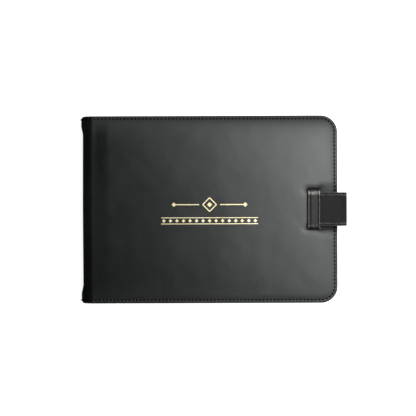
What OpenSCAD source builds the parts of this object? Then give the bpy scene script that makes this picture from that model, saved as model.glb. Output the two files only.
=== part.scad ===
// Pilot's logbook in a padded leather cover, closed by a strap that passes under a keeper loop.
// The book lies on its back cover. X runs from the spine to the fore-edge, Y from the tail to the
// head and Z up. The origin is the middle of the back cover's resting face.

/* [Cover] */
// Width of the closed cover, from the spine to the fore-edge
cover_w = 240; // [220:1:260]
// Height of the cover, from the tail to the head
cover_h = 176; // [160:1:200]
// Thickness of the closed book over both covers
book_t = 20; // [19.5:0.1:21]
// Radius of the two corners at the fore-edge
corner_r = 15.5; // [12:0.5:20]
// Thickness of the cover leather
leather_t = 1.2; // [1:0.1:1.3]
// Thickness of the foam pad under the leather
foam_t = 1.2; // [1:0.1:1.3]
// Thickness of the stiff board in each cover
board_t = 1.4; // [1.3:0.1:1.5]
// Thickness of the lining pasted inside each cover
lining_t = 0.5; // [0.4:0.1:0.6]
// Distance from the cover's edge to the line of stitches
stitch_inset = 2.9; // [2.2:0.1:4]
// Diameter of the sewing thread
thread_d = 0.7; // [0.5:0.05:0.8]

/* [Pages] */
// Distance that the covers stand out past the pages at the head, tail and fore-edge
page_margin = 4; // [3:0.5:7]
// Thickness of one loose leaf or endpaper
leaf_t = 0.3; // [0.2:0.05:0.35]
// Number of folded sections in each half of the page block
half_sections = 4; // [4:1:4]

/* [Strap and keeper] */
// Width of the closing strap
strap_w = 31.6; // [26:0.2:34]
// Distance of the strap's tip from the fore-edge
strap_reach = 26.8; // [24:0.2:29]
// Length of the strap that is held inside the back cover
anchor_l = 26; // [20:1:34]
// Width of the keeper loop
keeper_w = 11; // [9:0.5:13]
// Distance of the keeper's middle from the fore-edge
keeper_x = 22.3; // [20:0.1:22.5]
// Thickness of the keeper leather
keeper_t = 1.3; // [1:0.1:1.5]

/* [Foil] */
// Length of the foil ornament
ornament_w = 71; // [50:1:90]
// Length of the foil band under the ornament
band_w = 91; // [70:1:110]
// Height of the foil band
band_h = 6.4; // [5:0.2:8]

/* [Hidden] */
$fn = 64;

fore_x = cover_w / 2;              // fore-edge of both covers
axis_x = -fore_x + book_t / 2;     // the common hinge line, in the middle of the round spine
axis_z = book_t / 2;
hinge_gap = 0.3;                   // between the hinge line and everything that swings on it
cover_x0 = axis_x + hinge_gap;     // spine side of each cover panel
tray_t = leather_t + foam_t + board_t;   // depth of the leather tray that holds foam and board
cover_t = tray_t + lining_t;
groove_w = thread_d + 0.3;         // pressed line that the thread lies in
groove_d = thread_d + 0.05;
thread_rest = 0.02;                // between a thread and the face beside it
core_inset = leather_t + stitch_inset + groove_w;   // rim of solid leather around foam and board
lining_inset = 3;                  // leather that shows around the lining
cut = 1;                           // how far cutting shapes run past a face

// page block
block_gap = 0.1;                   // between a lining and the page block
leaf_gap = 0.06;                   // between neighbours in the page block
sections = 2 * half_sections;
page_x1 = fore_x - page_margin;
page_half_h = cover_h / 2 - page_margin;
page_r = corner_r - page_margin;
block_z0 = cover_t + block_gap;
block_t = book_t - 2 * block_z0;
section_t = (block_t - 3 * leaf_t - (sections + 2) * leaf_gap) / sections;
section_pitch = section_t + leaf_gap;
leaf_z = block_z0 + leaf_t + leaf_gap + half_sections * section_pitch;

// spine
spine_r = book_t / 2;
stiffener_t = 0.6;
mull_t = 0.5;
mull_x = axis_x - 0.5 - mull_t;    // cloth glued down the backs of the sections
thread_stations = 4;
headband_d = 1.6;

// strap: leather outside, lining inside, bent half round from the back cover to the front cover
strap_leather_t = board_t - 0.2;
strap_lining_t = 1.2;
strap_gap = 0.3;                   // between the strap and the front cover or the keeper
strap_top = book_t + strap_gap + strap_lining_t + strap_leather_t;
anchor_z = leather_t + foam_t + board_t - strap_leather_t;
bend_r = (strap_top - anchor_z) / 2;     // outer radius of the bend
bend_x = fore_x - 0.4;
bend_z = anchor_z + bend_r;
strap_tip_x = fore_x - strap_reach;
strap_tip_r = 3;
strap_stitch_inset = 2.8;
strap_row_y = strap_w / 2 - strap_stitch_inset;
quarter_gap = 0.1;                 // degrees between the two quarters of the bend
web_start = 3;                     // degrees from the cover to the leather of the lower quarter
lining_start = 6;                  // degrees from the cover to its lining
thread_sweep = 86;                 // degrees of thread on each quarter

// keeper
keeper_mid_x = fore_x - keeper_x;
keeper_in_z = strap_top + strap_gap;
keeper_top = keeper_in_z + keeper_t;
keeper_half = strap_w / 2 + 0.8 + keeper_t;
slot_clear = 0.4;
slot_gape = 1.4;                   // how far each slot stays open outside the keeper
keeper_row_x = keeper_w / 2 - 1.5;
foot_z = book_t - leather_t - foam_t;

// foil
foil_t = 0.08;
ornament_y = 4.6;
band_y = -10.6;
stroke = 0.9;
ornament_frame = 10;               // side of the large lozenge
end_lozenge = 3;
border_lozenges = 15;
border_side = 2.4;
border_rule = 0.7;
border_margin = 2.6;

// A sheet with two round corners at the fore-edge, drawn in from the cover's outline.
module sheet(x0, x1, half_h, r) {
  translate([x0, -half_h]) square([x1 - r - x0, 2 * half_h]);
  translate([x0, -half_h + r]) square([x1 - x0, 2 * (half_h - r)]);
  for (side = [-1, 1])
    translate([x1 - r, side * (half_h - r)]) circle(r);
}

module cover_sheet(inset, x0 = cover_x0) {
  sheet(x0, fore_x - inset, cover_h / 2 - inset, corner_r - inset);
}

// Puts what is modelled as the back cover on top of the book instead.
module on_front() {
  translate([0, 0, book_t]) mirror([0, 0, 1]) children();
}

module stitch_groove() {
  translate([0, 0, -cut]) linear_extrude(groove_d + cut) difference() {
    cover_sheet(stitch_inset - groove_w / 2);
    cover_sheet(stitch_inset + groove_w / 2, cover_x0 - cut);
  }
}

module cover_leather() {
  difference() {
    linear_extrude(tray_t) cover_sheet(0);
    translate([0, 0, leather_t]) linear_extrude(tray_t) cover_sheet(core_inset, cover_x0 - cut);
    stitch_groove();
  }
}

module cover_foam() {
  translate([0, 0, leather_t]) linear_extrude(foam_t)
    cover_sheet(core_inset);
}

module cover_board() {
  translate([0, 0, leather_t + foam_t]) linear_extrude(board_t)
    cover_sheet(core_inset);
}

module cover_lining() {
  translate([0, 0, tray_t]) linear_extrude(lining_t) cover_sheet(lining_inset);
}

// One thread around the head, fore-edge and tail.
module cover_stitching() {
  r = corner_r - stitch_inset;
  row_y = cover_h / 2 - stitch_inset;
  bend_at = fore_x - corner_r;
  translate([0, 0, thread_d / 2 + thread_rest]) {
    for (side = [-1, 1]) {
      translate([cover_x0, side * row_y, 0]) rotate([0, 90, 0])
        cylinder(d = thread_d, h = bend_at - cover_x0);
      translate([bend_at, side * (row_y - r), 0]) rotate([0, 0, side > 0 ? 0 : -90])
        rotate_extrude(angle = 90) translate([r, 0]) circle(d = thread_d);
    }
    translate([fore_x - stitch_inset, -row_y + r, 0]) rotate([-90, 0, 0])
      cylinder(d = thread_d, h = 2 * (row_y - r));
  }
}

// ---- back cover -------------------------------------------------------------------------------
module anchor_space(clear) {
  translate([fore_x - anchor_l, -strap_w / 2 - clear, anchor_z])
    cube([anchor_l + cut, strap_w + 2 * clear, strap_leather_t + cut]);
}

module back_leather() {
  color("#1d1f1f") difference() {
    cover_leather();
    anchor_space(0.1);
  }
}

module back_foam() { color("#8a8a86") cover_foam(); }

module back_board() {
  color("#9b8f7a") difference() {
    cover_board();
    anchor_space(0.1);
  }
}

module back_lining() { color("#20242a") cover_lining(); }

module back_stitching() { color("#3b403c") cover_stitching(); }

module tab_anchor() {
  color("#302e2d") translate([fore_x - anchor_l, -strap_w / 2, anchor_z])
    cube([anchor_l - 0.4, strap_w, strap_leather_t]);
}

// ---- spine ------------------------------------------------------------------------------------
// Half a tube around the hinge line, as long as the book is high.
module half_tube(r_out, r_in, length) {
  translate([axis_x, length / 2, axis_z]) rotate([90, 0, 0]) linear_extrude(length)
    difference() {
      circle(r_out);
      circle(r_in);
      translate([0, -r_out - cut]) square([r_out + cut, 2 * (r_out + cut)]);
    }
}

module spine_leather() {
  color("#151717") half_tube(spine_r, spine_r - leather_t, cover_h);
}

module spine_stiffener() {
  inside = spine_r - leather_t;
  color("#9b8f7a") half_tube(inside, inside - stiffener_t, cover_h - 2 * page_margin);
}

module spine_mull() {
  color("#d8d2bf") translate([mull_x, -page_half_h + headband_d + 2, block_z0])
    cube([mull_t, 2 * (page_half_h - headband_d - 2), block_t]);
}

module headband(side) {
  translate([mull_x, side * (page_half_h - headband_d), block_z0])
    cylinder(d = headband_d, h = block_t);
}

module headband_head() { color("#c9c4b4") headband(1); }

module headband_tail() { color("#c9c4b4") headband(-1); }

module binding_thread() {
  spacing = 2 * page_half_h / (thread_stations + 1);
  color("#efe9da") for (i = [1 : thread_stations])
    translate([mull_x - thread_d / 2, -page_half_h + i * spacing, block_z0])
      cylinder(d = thread_d, h = block_t);
}

// ---- page block -------------------------------------------------------------------------------
module page_slab(z, t) {
  translate([0, 0, z]) linear_extrude(t) sheet(cover_x0, page_x1, page_half_h, page_r);
}

// Sections 1 to 4 lie under the turning leaf and 5 to 8 over it.
module page_section(number) {
  below = number <= half_sections;
  step = below ? number - 1 : number - 1 - half_sections;
  z = below ? block_z0 + leaf_t + leaf_gap : leaf_z + leaf_t + leaf_gap;
  color("#efe8d2") page_slab(z + step * section_pitch, section_t);
}

module endpaper_back() { color("#ddd4ba") page_slab(block_z0, leaf_t); }

module turning_leaf() { color("#f3ecd8") page_slab(leaf_z, leaf_t); }

module endpaper_front() { color("#ddd4ba") page_slab(book_t - block_z0 - leaf_t, leaf_t); }

// ---- front cover ------------------------------------------------------------------------------
module keeper_slots() {
  for (side = [-1, 1])
    translate([keeper_mid_x, side * (keeper_half + (slot_gape - keeper_t) / 2), book_t - cut])
      cube([keeper_w + 2 * slot_clear, keeper_t + slot_gape + 2 * slot_clear,
            4 * cut + 2 * foam_t], center = true);
}

module front_leather() {
  color("#4a4d4e") difference() {
    on_front() cover_leather();
    keeper_slots();
  }
}

module front_foam() {
  color("#8a8a86") difference() {
    on_front() cover_foam();
    keeper_slots();
  }
}

module front_board() { color("#9b8f7a") on_front() cover_board(); }

module front_lining() { color("#20242a") on_front() cover_lining(); }

module front_stitching() { color("#3b403c") on_front() cover_stitching(); }

// A strip over the strap, with both ends turned down through slots in the leather.
module keeper_loop() {
  corner = 1.2;
  color("#4b4744") translate([keeper_mid_x - keeper_w / 2, 0, 0])
    rotate([90, 0, 90]) linear_extrude(keeper_w) difference() {
      union() {
        translate([-keeper_half, foot_z]) square([2 * keeper_half, keeper_top - corner - foot_z]);
        translate([corner - keeper_half, foot_z])
          square([2 * (keeper_half - corner), keeper_top - foot_z]);
        for (side = [-1, 1])
          translate([side * (keeper_half - corner), keeper_top - corner]) circle(corner);
      }
      translate([keeper_t - keeper_half, foot_z - cut])
        square([2 * (keeper_half - keeper_t), keeper_in_z - foot_z + cut]);
    }
}

module keeper_stitching() {
  length = 2 * keeper_half - 4;
  color("#6b6a62") for (side = [-1, 1])
    translate([keeper_mid_x + side * keeper_row_x, length / 2, keeper_top + thread_d / 2])
      rotate([90, 0, 0]) cylinder(d = thread_d, h = length);
}

// ---- foil -------------------------------------------------------------------------------------
// A square standing on its corner, side long from edge to edge.
module lozenge(side) {
  rotate(45) square(side, center = true);
}

// A plain printer's rule: a lozenge frame between two rules that end in small lozenges.
module foil_ornament() {
  tip = ornament_w / 2 - end_lozenge / sqrt(2);
  start = ornament_frame / sqrt(2) + 3;
  color("#d9cfa4") translate([0, ornament_y, book_t]) linear_extrude(foil_t) {
    difference() {
      lozenge(ornament_frame);
      lozenge(ornament_frame - 2 * stroke);
    }
    lozenge(ornament_frame / 3);
    for (side = [-1, 1]) {
      translate([side * (start + tip) / 2, 0]) square([tip - start, stroke], center = true);
      translate([side * tip, 0]) lozenge(end_lozenge);
    }
  }
}

// A plain border: a row of lozenges between two rules.
module foil_band() {
  row_w = band_w - 2 * border_margin;
  color("#d9cfa4") translate([0, band_y, book_t]) linear_extrude(foil_t) {
    for (side = [-1, 1])
      translate([0, side * (band_h - border_rule) / 2])
        square([band_w, border_rule], center = true);
    for (i = [0 : border_lozenges - 1])
      translate([-row_w / 2 + row_w * i / (border_lozenges - 1), 0]) lozenge(border_side);
  }
}

// ---- strap ------------------------------------------------------------------------------------
// A quarter of the bend: the lower one starts at -90 degrees and the upper one at 0.
module bend_quarter(r_out, r_in, start, sweep) {
  translate([bend_x, strap_w / 2, bend_z]) rotate([90, 0, 0]) linear_extrude(strap_w)
    intersection() {
      difference() {
        circle(r_out);
        circle(r_in);
      }
      rotate(start) square(r_out + cut);
      rotate(start + sweep - 90) square(r_out + cut);
    }
}

module flat_run(z, t) {
  translate([0, 0, z]) linear_extrude(t) {
    translate([strap_tip_x + strap_tip_r, -strap_w / 2])
      square([bend_x - strap_tip_x - strap_tip_r, strap_w]);
    translate([strap_tip_x, -strap_w / 2 + strap_tip_r])
      square([strap_tip_r + 1, strap_w - 2 * strap_tip_r]);
    for (side = [-1, 1])
      translate([strap_tip_x + strap_tip_r, side * (strap_w / 2 - strap_tip_r)])
        circle(strap_tip_r);
  }
}

module strap_thread(start, flat_l) {
  r = bend_r + thread_d / 2 + thread_rest;
  for (side = [-1, 1]) {
    translate([bend_x, side * strap_row_y, bend_z]) rotate([90, 0, 0]) rotate([0, 0, start])
      rotate_extrude(angle = thread_sweep) translate([r, 0]) circle(d = thread_d);
    if (flat_l > 0)
      translate([bend_x - flat_l, side * strap_row_y, bend_z + r]) rotate([0, 90, 0])
        cylinder(d = thread_d, h = flat_l);
  }
}

module tab_web_leather() {
  color("#302e2d") bend_quarter(bend_r, bend_r - strap_leather_t, web_start - 90,
                                90 - web_start - quarter_gap);
}

module tab_web_lining() {
  r = bend_r - strap_leather_t;
  color("#26221f") bend_quarter(r, r - strap_lining_t, lining_start - 90,
                                90 - lining_start - quarter_gap);
}

module tab_web_stitching() { color("#4d4842") strap_thread(web_start - 90, 0); }

module tab_flap_leather() {
  color("#302e2d") union() {
    bend_quarter(bend_r, bend_r - strap_leather_t, 0, 90);
    flat_run(strap_top - strap_leather_t, strap_leather_t);
  }
}

module tab_flap_lining() {
  r = bend_r - strap_leather_t;
  color("#26221f") union() {
    bend_quarter(r, r - strap_lining_t, 0, 90);
    flat_run(strap_top - strap_leather_t - strap_lining_t, strap_lining_t);
  }
}

module tab_flap_stitching() {
  color("#4d4842") strap_thread(90 - thread_sweep, fore_x - keeper_mid_x - keeper_w / 2 - 1);
}

back_leather();
back_foam();
back_board();
back_lining();
back_stitching();
tab_anchor();
spine_leather();
spine_stiffener();
spine_mull();
headband_head();
headband_tail();
binding_thread();
endpaper_back();
page_section(1);  // page_section_1
page_section(2);  // page_section_2
page_section(3);  // page_section_3
page_section(4);  // page_section_4
turning_leaf();
page_section(5);  // page_section_5
page_section(6);  // page_section_6
page_section(7);  // page_section_7
page_section(8);  // page_section_8
endpaper_front();
front_leather();
front_foam();
front_board();
front_lining();
front_stitching();
foil_ornament();
foil_band();
keeper_loop();
keeper_stitching();
tab_web_leather();
tab_web_lining();
tab_web_stitching();
tab_flap_leather();
tab_flap_lining();
tab_flap_stitching();
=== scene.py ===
# %% [markdown]
# # A pilot's logbook in padded black leather
# The book lies on its back cover. Its sizes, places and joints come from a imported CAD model, which
# this lesson calls the frame. Blender adds what CAD doesn't hold: the soft leather, its stitches,
# the leaves of paper and every finish. A piece is built in metres where the frame says it is, and
# then told which body of the frame it rides on, so that the book can be opened later.

# %% Load the frame
import math

import bmesh
import bpy
import numpy as np
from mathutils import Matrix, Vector, noise


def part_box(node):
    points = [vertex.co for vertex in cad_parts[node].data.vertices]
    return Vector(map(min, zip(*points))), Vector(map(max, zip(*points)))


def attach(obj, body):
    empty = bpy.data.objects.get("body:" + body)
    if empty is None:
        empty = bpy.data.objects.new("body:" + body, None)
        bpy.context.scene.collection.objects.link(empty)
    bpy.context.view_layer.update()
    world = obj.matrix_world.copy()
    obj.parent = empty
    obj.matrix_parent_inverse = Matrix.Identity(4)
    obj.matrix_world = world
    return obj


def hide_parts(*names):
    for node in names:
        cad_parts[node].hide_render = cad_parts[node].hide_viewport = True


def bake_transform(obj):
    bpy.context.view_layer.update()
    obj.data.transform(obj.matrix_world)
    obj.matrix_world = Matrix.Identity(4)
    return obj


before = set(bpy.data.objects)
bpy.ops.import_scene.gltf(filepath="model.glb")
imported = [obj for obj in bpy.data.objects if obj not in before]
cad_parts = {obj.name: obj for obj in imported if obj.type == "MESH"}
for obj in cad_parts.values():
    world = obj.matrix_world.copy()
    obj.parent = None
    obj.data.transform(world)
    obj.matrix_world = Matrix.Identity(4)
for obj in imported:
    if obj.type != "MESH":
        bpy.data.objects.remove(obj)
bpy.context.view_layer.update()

# %% [markdown]
# ## Sizes
# Every length below is either read from a box of the frame or is a detail that only the looks
# need, such as how deep the stitch line is pressed. MM turns millimetres into Blender's metres, so
# the numbers can be read as a leather worker would say them.

# %% Read the sizes
MM = 0.001
panel_lo, panel_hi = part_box("front_leather")
spine_lo, spine_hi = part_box("spine_leather")
flap_lo, flap_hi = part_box("tab_flap_leather")
web_lo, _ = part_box("tab_web_leather")
keeper_lo, keeper_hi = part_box("keeper_loop")

TOP = panel_hi.z                   # outer face of the front cover
HALF_H = panel_hi.y                # from the middle to the head or the tail
FORE_X = panel_hi.x                # the fore-edge
HINGE_X, HINGE_Z = spine_hi.x, TOP / 2
PANEL_X = panel_lo.x               # where the flat panels begin
COVER_T = panel_hi.z - panel_lo.z
CORNER_R = 15.5 * MM
STITCH_IN = 2.9 * MM               # from the cover's edge to its stitches
STITCH_PITCH = 3.5 * MM
FINE_PITCH = 2.25 * MM             # on the strap and the keeper
RING_DEPTH = 13 * MM               # width of the band that is built of rings along the edge
print(f"cover {(FORE_X - spine_lo.x) / MM:.1f} x {2 * HALF_H / MM:.1f} x {TOP / MM:.1f} mm")

# %% [markdown]
# ## Finishes as expressions
# A finish is a small network of shader nodes. Written node by node it is long and hard to read, so
# one class wraps an output socket and lets Python's own operators add the Math nodes: `1 - mask`
# or `grain * 0.3 + wear` reads like the formula that it is. A second class holds the material and
# has one method, `node`, for every other kind of node.

# %% The expression classes
def operator(operation, reflected=False):
    """A method that adds the Math node of one operator. `1 - mask` asks for the reflected form."""
    def method(self, other):
        pair = (other, self) if reflected else (self, other)
        return self.finish.maths(operation, *pair)
    return method


class Wire:
    """An output socket that takes part in Python arithmetic."""
    __add__ = __radd__ = operator("ADD")
    __mul__ = __rmul__ = operator("MULTIPLY")
    __sub__, __rsub__ = operator("SUBTRACT"), operator("SUBTRACT", reflected=True)
    __truediv__ = operator("DIVIDE")

    def __init__(self, finish, socket):
        self.finish = finish
        self.socket = socket


class Finish:
    """A material with one Principled shader. Uniform numbers go straight onto its sockets."""

    def __init__(self, name, bends=False, **uniform):
        self.bends = bends
        self.material = bpy.data.materials.new(name)
        self.material.use_nodes = True
        self.tree = self.material.node_tree
        self.shader = self.tree.nodes["Principled BSDF"]
        for socket, value in uniform.items():
            self.input(socket).default_value = value

    def input(self, name):
        """The shader's socket for a name such as base_color."""
        return self.shader.inputs[name.replace("_", " ").title().replace("Ior", "IOR")]

    def node(self, kind, settings=None, sockets=None, out=0):
        """Adds a node: its settings first, then the values or wires of its sockets."""
        made = self.tree.nodes.new(kind)
        for name, value in (settings or {}).items():
            setattr(made, name, value)
        by_id = {s.identifier: s for s in made.inputs}
        for name, value in (sockets or {}).items():
            target = by_id[name] if name in by_id else made.inputs[name]
            if isinstance(value, Wire):
                self.tree.links.new(value.socket, target)
            else:
                target.default_value = value
        outputs = {s.identifier: s for s in made.outputs}
        return Wire(self, outputs[out] if out in outputs else made.outputs[out])

    def maths(self, operation, first, second=0.0):
        sockets = {"Value": first, "Value_001": second}
        return self.node("ShaderNodeMath", {"operation": operation}, sockets)

    def place(self, axis=None):
        """The point in the frame's own coordinates, or one of them. On a piece that bends it is
        the place where the point lay at rest, which the mesh holds as the attribute `laid`."""
        if self.bends:
            point = self.node("ShaderNodeAttribute", {"attribute_name": "laid"}, out="Vector")
        else:
            point = self.node("ShaderNodeTexCoord", out="Object")
        if axis is None:
            return point
        return self.node("ShaderNodeSeparateXYZ", sockets={"Vector": point}, out=axis)

    def noise(self, scale, detail=3.0, rough=0.5):
        sockets = {"Vector": self.place(), "Scale": scale, "Detail": detail, "Roughness": rough}
        return self.node("ShaderNodeTexNoise", sockets=sockets)

    def cells(self, scale):
        """Distance from the middle of each cell, as in the grain of leather."""
        sockets = {"Vector": self.place(), "Scale": scale}
        return self.node("ShaderNodeTexVoronoi", {"feature": "F1"}, sockets, "Distance")

    def painted(self, name):
        """A number that the mesh holds at each point, such as how near an edge it is."""
        return self.node("ShaderNodeAttribute", {"attribute_name": name}, out="Fac")

    def between(self, value, low, high, to_low=0.0, to_high=1.0):
        sockets = {"Value": value, "From Min": low, "From Max": high,
                   "To Min": to_low, "To Max": to_high}
        return self.node("ShaderNodeMapRange", {"interpolation_type": "SMOOTHSTEP"}, sockets)

    def blend(self, factor, low, high):
        """Between two colours."""
        colours = {key: value if isinstance(value, Wire) else (*value, 1.0)
                   for key, value in (("A_Color", low), ("B_Color", high))}
        return self.node("ShaderNodeMix", {"data_type": "RGBA"},
                         {"Factor_Float": factor, **colours}, "Result_Color")

    def bump(self, height, distance, strength):
        return self.node("ShaderNodeBump", sockets={
            "Height": height, "Distance": distance, "Strength": strength})

    def drive(self, **wires):
        """Feeds the shader's varying sockets."""
        for socket, wire in wires.items():
            self.tree.links.new(wire.socket, self.input(socket))
        return self.material

    def dress(self, colour, rough, height, distance, strength, **more):
        """What nearly every finish varies: its colour, its roughness and its bumps."""
        normal = self.bump(height, distance, strength)
        return self.drive(base_color=colour, roughness=rough, normal=normal, **more)


print("finish classes ready")

# %% [markdown]
# ## Leather
# Smooth calf leather isn't one colour. The dye is uneven over centimetres, the grain is a net of
# tiny cells about a third of a millimetre across with fine pores between, and the rolled edges and
# pressed lines are rubbed a little shinier. The grain feeds a Bump node and, much more weakly, the
# roughness, because a pore scatters light as well as shading it. The meshes hold painted numbers:
# `rim` says where the leather is rubbed, and on the strap and the keeper it also carries a painted
# highlight; a second says where the leather is creased and where painted shade darkens it; and
# `dull` says where a cover has lost its polish.

# %% Leather finishes
def leather(name, dark, light, gloss, grain_scale, grain_depth,
            shine=0.5, wear_and_highlight_colour=(0.016, 0.018, 0.017)):
    """Dyed leather with cells of grain, pores, uneven dye, rubbed edges in a paler colour that on
    the strap and keeper is also a painted highlight, and painted shade in its creases.
    """
    made = Finish(name, specular_ior_level=shine)
    dye = made.noise(22, 4) * 0.6 + made.noise(140, 3) * 0.4
    grain = made.cells(grain_scale) * 0.6 + made.noise(grain_scale * 1.9, 4, 0.6) * 0.4
    pores = made.between(made.noise(grain_scale * 0.55, 5, 0.65), 0.60, 0.72)
    rim, pressed = made.painted("rim"), made.painted("pressed")
    colour = made.blend(made.between(dye, 0.36, 0.64), dark, light)
    colour = made.blend(made.between(grain, 0.2, 0.6) * 0.25, colour, light)
    # Paler rubbed edges: wear on the cover, and a painted highlight on the strap and the keeper.
    wear_and_highlight = rim * made.between(made.noise(420, 4, 0.7), 0.42, 0.62, 0.25, 1.0)
    colour = made.blend(wear_and_highlight * 0.5, colour, wear_and_highlight_colour)
    # Painted shade: creases and recesses, such as the stitch lines and the slots, are darkened here.
    crease_shade = tuple(0.35 * c for c in dark)
    colour = made.blend(pressed * 0.75, colour, crease_shade)
    rough = gloss + (dye - 0.5) * 0.08 + grain * 0.05 + pores * 0.07 - rim * 0.04
    rough = rough + made.painted("dull") * 0.12 + pressed * 0.28
    depth = grain * 1.0 - pores * 0.5 + made.noise(60, 2) * 0.6
    return made.dress(colour, rough, depth, grain_depth, 0.55)


cover_leather = leather("black_cover_leather", (0.0028, 0.0031, 0.0032), (0.0056, 0.0061, 0.0062),
                        0.29, 2600, 0.10 * MM)
# The strap's pale edge colour is partly a painted highlight along its edges.
strap_leather = leather("brown_black_strap_leather", (0.0095, 0.0090, 0.0088),
                        (0.0180, 0.0170, 0.0165), 0.66, 2300, 0.12 * MM, 0.22,
                        (0.24, 0.225, 0.215))
# The keeper's pale rubbed colour is mainly a painted highlight on its shoulders.
keeper_leather = leather("keeper_leather", (0.0170, 0.0158, 0.0150), (0.0300, 0.0280, 0.0265),
                         0.58, 2300, 0.12 * MM, 0.35, (0.46, 0.43, 0.41))
print("leathers:", cover_leather.name, strap_leather.name, keeper_leather.name)

# %% [markdown]
# ## Thread, cloth, board, foam and foil
# Sewing thread is plies twisted together, which shows as slanting ridges. The linings and the
# spine cloth are woven, so a product of two sine waves makes their bump. Board and foam are hardly
# seen, but a cut cover would show them, so they have their fibres and bubbles. Foil is a metal
# film pressed into the grain, rubbed thin in specks.

# %% The other finishes of the cover
def thread(name, dark, light, shine=0.35):
    made = Finish(name, specular_ior_level=shine, sheen_weight=shine / 2, sheen_roughness=0.4)
    slant = (made.place("X") + made.place("Y") + made.place("Z")) * (2 * math.pi / (0.42 * MM))
    ply = made.maths("SINE", slant) * 0.5 + 0.5
    fuzz = made.noise(5200, 4, 0.7)
    colour = made.blend(ply * 0.6 + fuzz * 0.4, dark, light)
    return made.dress(colour, 0.55 + fuzz * 0.25, ply + fuzz * 0.5, 0.08 * MM, 0.8)


def cloth(name, dark, light, yarn):
    made = Finish(name, specular_ior_level=0.3, sheen_weight=0.3, sheen_roughness=0.5)
    turn = 2 * math.pi / yarn
    warp = made.maths("SINE", made.place("X") * turn)
    weft = made.maths("SINE", made.place("Y") * turn)
    weave = warp * weft * 0.5 + 0.5
    slub = made.noise(900, 4, 0.6)
    colour = made.blend(made.between(weave * 0.6 + slub * 0.5, 0.25, 0.85), dark, light)
    return made.dress(colour, 0.75 + slub * 0.2, weave + slub * 0.6, 0.12 * MM, 0.7)


def fibre_board(name, dark, light):
    made = Finish(name, specular_ior_level=0.2)
    fibres = made.noise(700, 6, 0.7)
    specks = made.between(made.noise(2400, 3), 0.62, 0.72)
    colour = made.blend(fibres, dark, light)
    colour = made.blend(specks * 0.5, colour, tuple(0.4 * c for c in dark))
    return made.dress(colour, 0.85 + fibres * 0.1, fibres, 0.15 * MM, 0.6)


def foam_rubber(name, dark, light):
    made = Finish(name, specular_ior_level=0.2)
    bubbles = made.cells(1500)
    colour = made.blend(made.between(bubbles, 0.1, 0.6), dark, light)
    return made.dress(colour, 0.9 + bubbles * 0.1, bubbles, 0.25 * MM, 0.9)


def pressed_foil(name):
    made = Finish(name, specular_ior_level=0.6)
    grain = made.cells(2600) * 0.6 + made.noise(5000, 4, 0.6) * 0.4
    tarnish = made.noise(90, 4)
    specks = made.between(made.noise(1500, 5, 0.7), 0.60, 0.70)
    colour = made.blend(made.between(tarnish, 0.35, 0.65), (0.86, 0.72, 0.40), (0.93, 0.85, 0.60))
    colour = made.blend(specks * 0.55, colour, (0.16, 0.13, 0.08))
    return made.dress(colour, 0.36 + grain * 0.16 + specks * 0.2, grain, 0.10 * MM, 0.6,
                      metallic=0.78 - specks * 0.6)


dark_thread = thread("dark_sewing_thread", (0.0005, 0.0006, 0.0010), (0.0022, 0.0024, 0.0034), 0.01)
strap_thread = thread("strap_sewing_thread", (0.20, 0.195, 0.18), (0.48, 0.46, 0.43))
linen_thread = thread("linen_binding_thread", (0.55, 0.50, 0.40), (0.80, 0.76, 0.66))
lining_cloth = cloth("blue_black_lining", (0.010, 0.012, 0.017), (0.034, 0.040, 0.052), 0.8 * MM)
mull_cloth = cloth("open_weave_spine_cloth", (0.42, 0.38, 0.29), (0.74, 0.70, 0.59), 1.1 * MM)
grey_board = fibre_board("grey_board", (0.22, 0.19, 0.14), (0.42, 0.37, 0.29))
pad_foam = foam_rubber("pad_foam", (0.12, 0.12, 0.115), (0.34, 0.34, 0.32))
gold_foil = pressed_foil("pale_gold_foil")
print("cover finishes ready")

# %% [markdown]
# ## Paper
# The faces of the pages carry a printed table: fine ruled rows, columns, and a tinted heading
# band, with no words. The lines are worked out from the point's place, so they are sharp at any
# distance. They show only where the surface faces up or down, which the object's own normal tells.

# %% Paper finishes
LEFT_MARGIN, RIGHT_MARGIN, HEAD_MARGIN, FOOT_MARGIN = 14 * MM, 12 * MM, 14 * MM, 13 * MM
HEADING_FOOT = 30 * MM                # from the head of the page to the foot of the heading
ROW_PITCH = 7.2 * MM
FINE_LINE, COLUMN_LINE, GROUP_LINE, HEADING_LINE = 0.18 * MM, 0.2 * MM, 0.45 * MM, 0.5 * MM
COLUMNS, GROUPS = 14, 3.5             # the last group is half as wide as the others


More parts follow.
